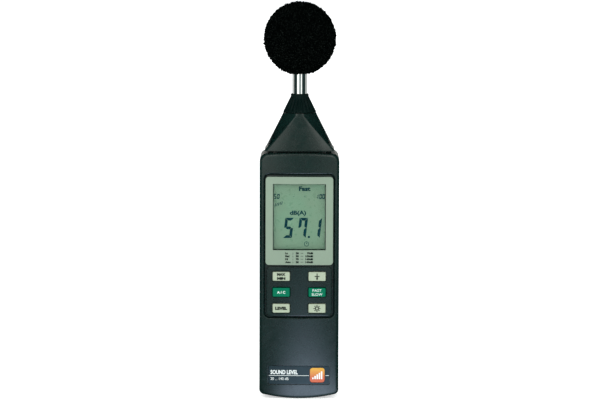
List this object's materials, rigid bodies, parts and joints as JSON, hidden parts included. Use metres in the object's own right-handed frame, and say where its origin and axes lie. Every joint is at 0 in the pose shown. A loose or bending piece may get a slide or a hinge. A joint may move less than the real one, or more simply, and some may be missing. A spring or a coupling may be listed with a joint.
{
  "type": "sound level meter",
  "caption": "Handheld sound level meter with a foam-covered microphone on a metal tube, a display, a small keypad and a battery bay at the back.",
  "frame": {"origin": "centre of the bounding box's base: on the microphone's axis, at the height of the lowest line of the case", "axes": "+Z along the microphone towards its tip, -Y out of the display, +X to the right as seen by someone reading the display"},
  "size_m": [0.068, 0.0626, 0.3393],
  "materials": {
    "case_plastic": "matte",
    "black_rubber": "matte",
    "windscreen_foam": "matte",
    "beige_key": "satin",
    "green_key": "satin",
    "window_print": "satin",
    "lcd_glass": "gloss",
    "label_sheet": "satin",
    "badge_enamel": "gloss",
    "polished_metal": "polished",
    "plated_steel": "satin",
    "turned_brass": "satin",
    "circuit_board": "satin",
    "chip_epoxy": "satin",
    "socket_plastic": "satin",
    "white_plastic": "satin",
    "red_wire": "satin",
    "battery_jacket": "satin"
  },
  "bodies": {
    "case": {"front_shell": "case_plastic", "rear_shell": "case_plastic", "nose_cone": "case_plastic", "microphone_collar": "black_rubber", "tube_seal": "black_rubber", "display_gasket": "black_rubber", "zebra_strip_top": "black_rubber", "zebra_strip_bottom": "black_rubber", "keypad_mat": "black_rubber", "battery_lead_black": "black_rubber", "microphone_lead": "black_rubber", "display_window": "window_print", "lcd_glass": "lcd_glass", "title_label": "label_sheet", "badge": "badge_enamel", "preamp_tube": "polished_metal", "microphone_capsule": "polished_metal", "protection_grid": "polished_metal", "diaphragm": "plated_steel", "shield_can": "plated_steel", "crystal": "plated_steel", "case_screw_1": "plated_steel", "case_screw_2": "plated_steel", "case_screw_3": "plated_steel", "case_screw_4": "plated_steel", "board_screw_1": "plated_steel", "board_screw_2": "plated_steel", "board_screw_3": "plated_steel", "board_screw_4": "plated_steel", "backplate": "turned_brass", "tripod_insert": "turned_brass", "main_board": "circuit_board", "preamp_board": "circuit_board", "microcontroller": "chip_epoxy", "level_converter": "chip_epoxy", "op_amp": "chip_epoxy", "regulator": "chip_epoxy", "capacitor_1": "chip_epoxy", "capacitor_2": "chip_epoxy", "capacitor_3": "chip_epoxy", "battery_snap": "chip_epoxy", "output_jack_ac": "socket_plastic", "output_jack_dc": "socket_plastic", "power_socket": "socket_plastic", "lcd_holder": "white_plastic", "backlight_panel": "white_plastic", "trimmer_body": "white_plastic", "battery_lead_red": "red_wire", "battery": "battery_jacket"},
    "windscreen": {"windscreen": "windscreen_foam"},
    "battery_cover": {"battery_cover": "case_plastic", "battery_pad": "windscreen_foam"},
    "trimmer": {"trimmer_rotor": "turned_brass"},
    "key_level": {"key_level": "beige_key"},
    "key_light": {"key_light": "beige_key"},
    "key_max_min": {"key_max_min": "beige_key"},
    "key_power": {"key_power": "beige_key"},
    "key_response": {"key_response": "green_key"},
    "key_weighting": {"key_weighting": "green_key"}
  },
  "joints": [
    {"name": "windscreen_slide", "type": "slide", "parent": "case", "child": "windscreen", "axis": [0, 0, 1], "range_m": [0, 0.05]},
    {"name": "battery_cover_hinge", "type": "hinge", "parent": "case", "child": "battery_cover", "pos_m": [0, 0.026, 0.012], "axis": [-1, 0, 0], "range_deg": [0, 95]},
    {"name": "calibration_turn", "type": "hinge", "parent": "case", "child": "trimmer", "pos_m": [0.03, -0.0054, 0.14], "axis": [1, 0, 0], "range_deg": [-120, 120]},
    {"name": "key_max_min_press", "type": "slide", "parent": "case", "child": "key_max_min", "axis": [0, 1, 0], "range_m": [0, 0.0009], "stiffness_N_per_m": 800, "springref_m": -0.0006},
    {"name": "key_power_press", "type": "slide", "parent": "case", "child": "key_power", "axis": [0, 1, 0], "range_m": [0, 0.0009], "stiffness_N_per_m": 800, "springref_m": -0.0006},
    {"name": "key_weighting_press", "type": "slide", "parent": "case", "child": "key_weighting", "axis": [0, 1, 0], "range_m": [0, 0.0009], "stiffness_N_per_m": 800, "springref_m": -0.0006},
    {"name": "key_response_press", "type": "slide", "parent": "case", "child": "key_response", "axis": [0, 1, 0], "range_m": [0, 0.0009], "stiffness_N_per_m": 800, "springref_m": -0.0006},
    {"name": "key_level_press", "type": "slide", "parent": "case", "child": "key_level", "axis": [0, 1, 0], "range_m": [0, 0.0009], "stiffness_N_per_m": 800, "springref_m": -0.0006},
    {"name": "key_light_press", "type": "slide", "parent": "case", "child": "key_light", "axis": [0, 1, 0], "range_m": [0, 0.0009], "stiffness_N_per_m": 800, "springref_m": -0.0006}
  ]
}
